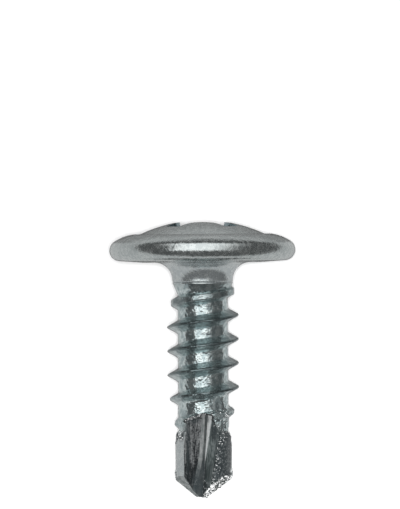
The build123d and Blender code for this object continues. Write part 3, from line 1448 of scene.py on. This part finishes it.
@dataclass(frozen=True)
class PlatedSteel:
    """Bright zinc plating over steel, by how the steel under it was formed.

    Lengths are in millimetres and scales are per millimetre. The blotch gives the two noise
    levels between which the shade turns to the tint, and a noise is its detail and its
    roughness. Spans, edges and grains are the values between which something sets in, and
    the shares say how much a pattern counts.
    """

    tint: Triple
    shade: Triple
    roughness: float
    mottle: float
    grain_depth: float
    grain_scale: float = 9.0
    fine_share: float = 0.5
    pits: float = 0.3
    pit_scale: float = 5.5
    pit_edge: Point = (0.08, 0.26)
    pit_grain: Point = (0.5, 0.6)
    pit_roughness: float = 0.3
    pit_relief: float = -0.9
    streaks: float = 0.0
    streak_scale: Triple = (7.0, 7.0, 0.9)
    streak_noise: Point = (2.0, 0.6)
    drawn_share: float = 0.65
    metal: float = 1.0
    blotch: Point = (0.42, 0.62)
    blotch_scale: float = 4.5
    blotch_noise: Point = (1.5, 0.55)
    patch_scale: float = 0.8
    patch_share: float = 0.35
    mottle_span: Point = (0.3, 0.7)
    # The darkening colour and its settings: scraped bare steel, and inside the flute painted
    # shade.
    scrapes_and_shade: Triple | None = None
    darkening_grain: Point = (0.5, 0.68)
    darkening_shares: Point = (1.0, 0.75)
    darkening_roughness: float = 0.12
    darkening_metal: float = -0.65
    # Painted shade on the thread's flanks and crest, set by radius, standing for their dark
    # reflections.
    flank_shade: float = 0.0
    flank_shade_colour: Triple = (0.10, 0.13, 0.135)
    flank_span: Point = (1.56, 1.7)
    crest_span: Point = (1.96, 2.04)
    crest_share: float = 0.75
    gloss: float = 0.5

    def material(self, name: str, attitude: Attitude) -> Finish:
        """Builds the material.

        Args:
            name: Name of the material.
            attitude: Place of the screw, so that patterns follow its axis.

        Returns:
            The node material.
        """
        made = bpy.data.materials.new(name)
        made.use_nodes = True
        made.node_tree.nodes.clear()
        sketch = Sketch(made.node_tree)
        calc = sketch.calc
        place = self.upright(sketch, attitude)
        patches = sketch.grain(place, self.patch_scale)
        blotches = sketch.grain(place, self.blotch_scale, *self.blotch_noise)
        fine = sketch.grain(place, self.grain_scale, 1.0)
        streaks = sketch.out("ShaderNodeMapping", {"Vector": place, "Scale": self.streak_scale})
        streaks = sketch.grain(streaks, 1.0, *self.streak_noise)
        cells = sketch.out("ShaderNodeTexVoronoi", {"Vector": place, "Scale": self.pit_scale})
        pits = sketch.product(sketch.soft(cells, *self.pit_edge, 1.0, 0.0),
                              sketch.span(fine, *self.pit_grain, 0.0, self.pits))
        drawn = self.drawn_share if self.streaks else 0.0
        tone = calc("MULTIPLY_ADD", streaks, drawn, sketch.product(blotches, 1 - drawn))
        tone = calc("MULTIPLY_ADD", calc("SUBTRACT", patches, 0.5), self.patch_share, tone)
        tone = sketch.product(sketch.span(tone, *self.blotch), calc("SUBTRACT", 1.0, pits))
        colour = sketch.blend(tone, (*self.shade, 1), (*self.tint, 1))
        rough = sketch.span(blotches, *self.mottle_span, self.roughness - self.mottle,
                            self.roughness + self.mottle)
        rough = calc("MULTIPLY_ADD", pits, self.pit_roughness, rough)
        metal: Value = self.metal
        # Painted shade: the thread's flanks and crest are darkened by radius.
        if self.flank_shade:
            colour = sketch.blend(self.flank_shade_share(sketch, place), colour, (*self.flank_shade_colour, 1))
        # Darkening by the written weight: bare steel where scraped, painted shade inside the
        # flute.
        if self.scrapes_and_shade:
            scrape_and_shade_share = sketch.node("ShaderNodeAttribute", attribute_name="scrapes_and_shade").outputs["Fac"]
            scrape_and_shade_share = sketch.product(
                scrape_and_shade_share, sketch.span(fine, *self.darkening_grain, *self.darkening_shares))
            colour = sketch.blend(scrape_and_shade_share, colour, (*self.scrapes_and_shade, 1))
            rough = calc("MULTIPLY_ADD", scrape_and_shade_share, self.darkening_roughness, rough)
            metal = calc("MULTIPLY_ADD", scrape_and_shade_share, self.darkening_metal * self.metal, self.metal)
        relief = calc("MULTIPLY_ADD", fine, self.fine_share, blotches)
        relief = calc("MULTIPLY_ADD", pits, self.pit_relief, relief)
        relief = calc("MULTIPLY_ADD", streaks, self.streaks, relief)
        bump = sketch.out("ShaderNodeBump", {
            "Strength": 1.0, "Distance": self.grain_depth * MM, "Height": relief})
        shader = sketch.out("ShaderNodeBsdfPrincipled", {
            "Metallic": metal, "Roughness": rough, "Specular IOR Level": self.gloss,
            "Base Color": colour, "Normal": bump})
        sketch.node("ShaderNodeOutputMaterial", {"Surface": shader})
        return made

    def flank_shade_share(self, sketch: Sketch, place: Socket) -> Socket:
        """Adds the share of painted shade, which darkens the thread's flanks and its crest for
        their dark reflections.

        Args:
            sketch: Sketch of the material.
            place: Place on the upright screw.

        Returns:
            The share of film there.
        """
        x, y, _ = sketch.parts(place)
        radius = sketch.vector("LENGTH", sketch.combine(x, y, 0.0)).outputs["Value"]
        flank = sketch.span(radius, *self.flank_span, 0.0, self.flank_shade)
        crest = sketch.span(radius, *self.crest_span, 0.0, 1.0 - self.flank_shade)
        return sketch.calc("MULTIPLY_ADD", crest, self.crest_share, flank)

    @staticmethod
    def upright(sketch: Sketch, attitude: Attitude) -> Socket:
        """Adds coordinates in millimetres along the upright screw's own axes.

        Args:
            sketch: Sketch of the material.
            attitude: Place of the screw.

        Returns:
            Place on the upright screw.
        """
        held = sketch.node("ShaderNodeTexCoord").outputs["Object"]
        place, turn, _ = attitude.matrix().decompose()
        return sketch.out("ShaderNodeMapping", {
            "Vector": held, "Location": place, "Rotation": turn.to_euler(),
            "Scale": (MM, MM, MM)}, vector_type="TEXTURE")


FINISHES = {
    Surface.FORGED: PlatedSteel(
        (0.61, 0.65, 0.645), (0.47, 0.51, 0.51), 0.24, 0.05, 0.009, pits=0.6, metal=0.95),
    Surface.DRAWN: PlatedSteel(
        (0.56, 0.60, 0.60), (0.46, 0.50, 0.51), 0.24, 0.05, 0.010, pits=0.1, metal=0.86,
        scrapes_and_shade=BARE_AND_SHADE),
    # The rolled thread carries painted shade on its flanks and crest.
    Surface.ROLLED: PlatedSteel(
        (0.66, 0.74, 0.74), (0.42, 0.50, 0.51), 0.12, 0.04, 0.030, pits=0.4, metal=0.94,
        blotch_scale=3.7, scrapes_and_shade=BARE_AND_SHADE, flank_shade=0.28),
    # The recess's darker tint is painted shade for the shade that falls in the recess.
    Surface.PUNCHED: PlatedSteel(
        (0.34, 0.42, 0.44), (0.27, 0.34, 0.36), 0.2, 0.05, 0.012),
    # Flute walls: dark tints that are painted shade, standing for the shade inside the flute.
    Surface.PINCHED: PlatedSteel(
        (0.32, 0.33, 0.335), (0.03, 0.034, 0.036), 0.4, 0.08, 0.05, pits=0.5, streaks=1.2,
        metal=0.55, blotch=(0.47, 0.66), blotch_scale=9.0, scrapes_and_shade=BARE_AND_SHADE, gloss=0.2),
    Surface.SMEARED: PlatedSteel(
        (0.36, 0.37, 0.37), (0.18, 0.20, 0.20), 0.35, 0.05, 0.02, pits=0.15, streaks=0.6,
        metal=0.55, scrapes_and_shade=BARE_AND_SHADE, gloss=0.2),
    Surface.CREASED: PlatedSteel(
        (0.12, 0.13, 0.13), (0.05, 0.055, 0.055), 0.4, 0.05, 0.02, pits=0.15, streaks=0.6,
        metal=0.55, scrapes_and_shade=BARE_AND_SHADE, gloss=0.2),
    # The streak's bright tint is a painted highlight in the flute.
    Surface.STREAKED: PlatedSteel(
        (0.86, 0.88, 0.88), (0.62, 0.65, 0.65), 0.3, 0.05, 0.015, pits=0.1, streaks=0.5,
        metal=0.55, blotch=(0.3, 0.6), scrapes_and_shade=BARE_AND_SHADE, gloss=0.2),
    Surface.WIPED: PlatedSteel(
        (0.32, 0.36, 0.36), (0.11, 0.135, 0.135), 0.35, 0.06, 0.03, pits=0.3, streaks=0.8,
        metal=0.55, scrapes_and_shade=BARE_AND_SHADE, gloss=0.2),
    Surface.GROUND: PlatedSteel(
        (0.46, 0.49, 0.49), (0.20, 0.23, 0.23), 0.28, 0.06, 0.03, pits=0.5),
    Surface.SHEARED: PlatedSteel(
        (0.95, 0.96, 0.96), (0.04, 0.05, 0.05), 0.22, 0.08, 0.05, metal=0.3,
        blotch=(0.49, 0.53), blotch_scale=8.0),
}


# --- The whole screw ---


@dataclass
class Screw:
    """The screw as one closed skin over the frame's node."""

    attitude: Attitude
    head: Head = field(default_factory=Head)
    recess: Recess = field(default_factory=Recess)
    thread: Thread = field(default_factory=Thread)
    point: DrillPoint = field(default_factory=DrillPoint)
    # Finishes of the flute walls: painted shade, and a painted highlight on the streak.
    walls: tuple[Surface, ...] = (Surface.PINCHED, Surface.SMEARED, Surface.CREASED,
                                  Surface.STREAKED, Surface.WIPED)
    smooth_angle: float = 34.0

    def build(self) -> Object:
        """Makes the forms, joins and cuts them, and lays the result in the frame.

        Returns:
            The finished piece, riding on the frame.
        """
        look = {surface: finish.material(surface.value, self.attitude)
                for surface, finish in FINISHES.items()}
        body = self.head.build(look[Surface.FORGED], look[Surface.DRAWN])
        joined(body, self.thread.build(look[Surface.ROLLED]), Joining.UNION)
        joined(body, self.point.blank(look[Surface.DRAWN]), Joining.UNION)
        walls = [look[surface] for surface in self.walls]
        for turn in (0.0, math.pi):
            for cutter in (self.point.flute(walls), self.point.groove(walls)):
                cutter.data.transform(Matrix.Rotation(turn, 4, "Z"))
                joined(body, cutter, Joining.DIFFERENCE)
        for side in (1, -1):
            for slope, surface in ((self.point.lip_slope, Surface.SHEARED),
                                   (self.point.heel_slope, Surface.GROUND)):
                joined(body, self.point.relief(side, slope, look[surface]), Joining.DIFFERENCE)
        joined(body, self.recess.cutter(look[Surface.PUNCHED]), Joining.DIFFERENCE)
        Burrs(self.point).raise_on(body, look[Surface.SHEARED])
        body.name = body.data.name = "plated_screw"
        body.data.transform(self.attitude.matrix())
        self.hold_in_box(body)
        body.data.shade_smooth()
        body.data.set_sharp_from_angle(angle=math.radians(self.smooth_angle))
        return self.mount(body)

    @staticmethod
    def hold_in_box(body: Object) -> None:
        """Keeps every point inside the frame's box.

        Args:
            body: The finished piece.
        """
        low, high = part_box(NODE)
        places = np.empty(len(body.data.vertices) * 3, np.float32)
        body.data.vertices.foreach_get("co", places)
        held = np.clip(places.reshape(-1, 3), np.array(low), np.array(high))
        body.data.vertices.foreach_set("co", held.astype(np.float32).ravel())
        body.data.update()

    @staticmethod
    def mount(body: Object) -> Object:
        """Ties the piece to the frame and reports it.

        Args:
            body: The finished piece.

        Returns:
            The same piece.
        """
        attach(body, "root")
        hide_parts(NODE)
        work = bmesh.new()
        work.from_mesh(body.data)
        open_edges = sum(not edge.is_manifold for edge in work.edges)
        triangles = sum(len(face.verts) - 2 for face in work.faces)
        volume = work.calc_volume() / MM**3
        work.free()
        LOG.info("%s: %d triangles, %d open edges, %.2f mm3", body.name, triangles, open_edges,
                 volume)
        return body


# --- Studio ---


@dataclass(frozen=True)
class Tent:
    """Light tent that the metal mirrors: pale, dark behind the camera, with a lit box.

    Elevations are in degrees from the camera upwards, past the zenith to the far side, and
    a zone is where a band of them starts, is full, wanes and ends. The other spans and
    edges are parts of the ray's direction along an axis. The lights are brightnesses.
    """

    attitude: Attitude
    back: Vector
    cap_turn: float = 12.0
    cap_rise: float = 22.0
    cap_span: Point = (-0.15, -0.1)
    far_span: Point = (-0.985, -0.96)
    strip_span: Point = (0.26, 0.36)
    strip_zone: tuple[float, ...] = (-132, -127, -106, -98)
    dark_light: float = 0.065
    box_left: Point = (-0.64, -0.58)
    box_widening: Point = (0.04, 0.26)
    widening_span: Point = (10, 50)
    box_right: Point = (0.05, 0.8)
    box_zone: tuple[float, ...] = (-9, -3, 76, 90)
    box_light: float = 1.5
    veil_span: Point = (-0.05, 0.1)
    veil_zone: tuple[float, ...] = (129, 150, 168, 180)
    veil_light: float = 0.3
    pale_light: float = 0.6
    fill_light: float = 0.2

    def build(self) -> None:
        """Makes the tent the scene's world. The camera itself sees plain white."""
        world = bpy.data.worlds.new("tent")
        world.use_nodes = True
        bpy.context.scene.world = world
        world.node_tree.nodes.clear()
        sketch = Sketch(world.node_tree)
        calc = sketch.calc
        way = sketch.node("ShaderNodeTexCoord").outputs["Generated"]
        up, tilt = self.attitude.axis, math.radians(self.cap_rise)
        lean = Matrix.Rotation(math.radians(self.cap_turn), 3, up) @ self.back
        lean = (lean * math.cos(tilt) + up * math.sin(tilt)).normalized()
        across, rise, out, cap = (
            sketch.vector("DOT_PRODUCT", way, tuple(axis)).outputs["Value"]
            for axis in (up.cross(self.back), up, self.back, lean))
        angle, aside = calc("ARCTAN2", rise, out), calc("ABSOLUTE", across)

        def zone(*bounds: float) -> Socket:
            """Share of a band of elevations that fades at both ends."""
            start, full, waning, end = map(math.radians, bounds)
            return sketch.product(sketch.soft(angle, start, full),
                                  sketch.soft(angle, waning, end, 1.0, 0.0))

        strip = sketch.product(sketch.soft(aside, *self.strip_span, 1.0, 0.0),
                               zone(*self.strip_zone))
        far = sketch.soft(out, *self.far_span, 1.0, 0.0)
        dark = calc("MAXIMUM", sketch.soft(cap, *self.cap_span), calc("MAXIMUM", far, strip))
        high = sketch.span(angle, *map(math.radians, self.widening_span))
        left = (calc("MULTIPLY_ADD", high, widening, edge)
                for widening, edge in zip(self.box_widening, self.box_left))
        box = sketch.product(sketch.soft(across, *left),
                             sketch.soft(across, *self.box_right, 1.0, 0.0),
                             zone(*self.box_zone))
        upward = sketch.soft(calc("SUBTRACT", rise, aside), *self.veil_span)
        veil = sketch.product(upward, zone(*self.veil_zone))
        pale = sketch.span(veil, 0.0, 1.0, self.pale_light, self.veil_light)
        lit = sketch.mix(box, sketch.mix(dark, pale, self.dark_light), self.box_light)
        path = sketch.node("ShaderNodeLightPath").outputs
        plain = sketch.mix(path["Is Camera Ray"], self.fill_light, 1.0)
        shown = sketch.mix(path["Is Glossy Ray"], plain, lit)
        glow = sketch.out("ShaderNodeBackground", {"Color": (1, 1, 1, 1), "Strength": shown})
        sketch.node("ShaderNodeOutputWorld", {"Surface": glow})


@dataclass(frozen=True)
class Studio:
    """Pale floor, soft light and a long-lens camera square to the screw's axis."""

    attitude: Attitude
    view_azimuth: float = -90.0
    roll: float = 0.4
    pixel: float = 0.0588
    image: tuple[int, int] = (400, 509)
    bearing_pixel: Point = (202.4, 262.3)
    distance: float = 0.42
    sensor: float = 36.0
    clip: Point = (0.01, 10.0)
    floor_size: float = 1.2
    floor_colour: tuple[float, ...] = (0.93, 0.93, 0.93, 1)
    floor_roughness: float = 0.9
    floor_gloss: float = 0.1
    lamp_distance: float = 0.6
    lamp_size: float = 0.06
    lamp_power: float = 5.0

    def camera(self, back: Vector) -> Object:
        """Places the camera so that the bearing plane falls on its pixel of the render.

        Args:
            back: Direction from the screw to the camera.

        Returns:
            The camera.
        """
        axis = self.attitude.axis
        level, roll = axis.cross(back), math.radians(self.roll)
        right = level * math.cos(roll) - axis * math.sin(roll)
        up = axis * math.cos(roll) + level * math.sin(roll)
        step = self.pixel * MM
        aside = self.image[0] / 2 - self.bearing_pixel[0]
        above = self.bearing_pixel[1] - self.image[1] / 2
        aim = self.attitude.bearing + right * aside * step + up * above * step
        data = bpy.data.cameras.new("camera")
        data.sensor_width = self.sensor
        data.lens = data.sensor_width * self.distance / (self.image[1] * step)
        data.clip_start, data.clip_end = self.clip
        made = placed("camera", data)
        turn = Matrix((right, up, back)).transposed().to_4x4()
        made.matrix_world = Matrix.Translation(aim + back * self.distance) @ turn
        bpy.context.scene.camera = made
        return made

    def floor(self) -> Object:
        """Lays a plain pale floor under the screw.

        Returns:
            The floor.
        """
        half = self.floor_size / 2
        mesh = bpy.data.meshes.new("floor")
        mesh.from_pydata([(-half, -half, 0), (half, -half, 0), (half, half, 0),
                          (-half, half, 0)], [], [(0, 1, 2, 3)])
        made = placed("floor", mesh)
        paint = bpy.data.materials.new("pale_floor")
        paint.use_nodes = True
        inputs = paint.node_tree.nodes["Principled BSDF"].inputs
        inputs["Base Color"].default_value = self.floor_colour
        inputs["Roughness"].default_value = self.floor_roughness
        inputs["Specular IOR Level"].default_value = self.floor_gloss
        mesh.materials.append(paint)
        made.visible_glossy = False
        return made

    def lamp(self, back: Vector) -> Object:
        """Hangs a soft lamp behind the camera.

        Args:
            back: Direction from the screw to the camera.

        Returns:
            The lamp.
        """
        data = bpy.data.lights.new("key", "AREA")
        data.shape = "RECTANGLE"
        data.size = data.size_y = self.lamp_size
        data.energy = self.lamp_power
        made = placed("key", data)
        made.location = self.attitude.bearing + back * self.lamp_distance
        made.rotation_mode = "QUATERNION"
        made.rotation_quaternion = back.to_track_quat("Z", "Y")
        made.visible_glossy = False
        return made

    def build(self) -> None:
        """Sets up the whole studio."""
        back = self.attitude.direction(self.view_azimuth)
        for part in (self.floor(), self.lamp(back), self.camera(back)):
            LOG.info("studio: %s", part.name)
        Tent(self.attitude, back).build()
        bpy.context.scene.view_settings.view_transform = "Standard"


def main() -> None:
    """Builds the screw and its studio."""
    logging.basicConfig(level=logging.INFO, format="%(name)s: %(message)s")
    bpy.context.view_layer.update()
    attitude = Attitude.from_record(frame["record"])
    Screw(attitude).build()
    Studio(attitude).build()


if __name__ == "__main__":
    main()
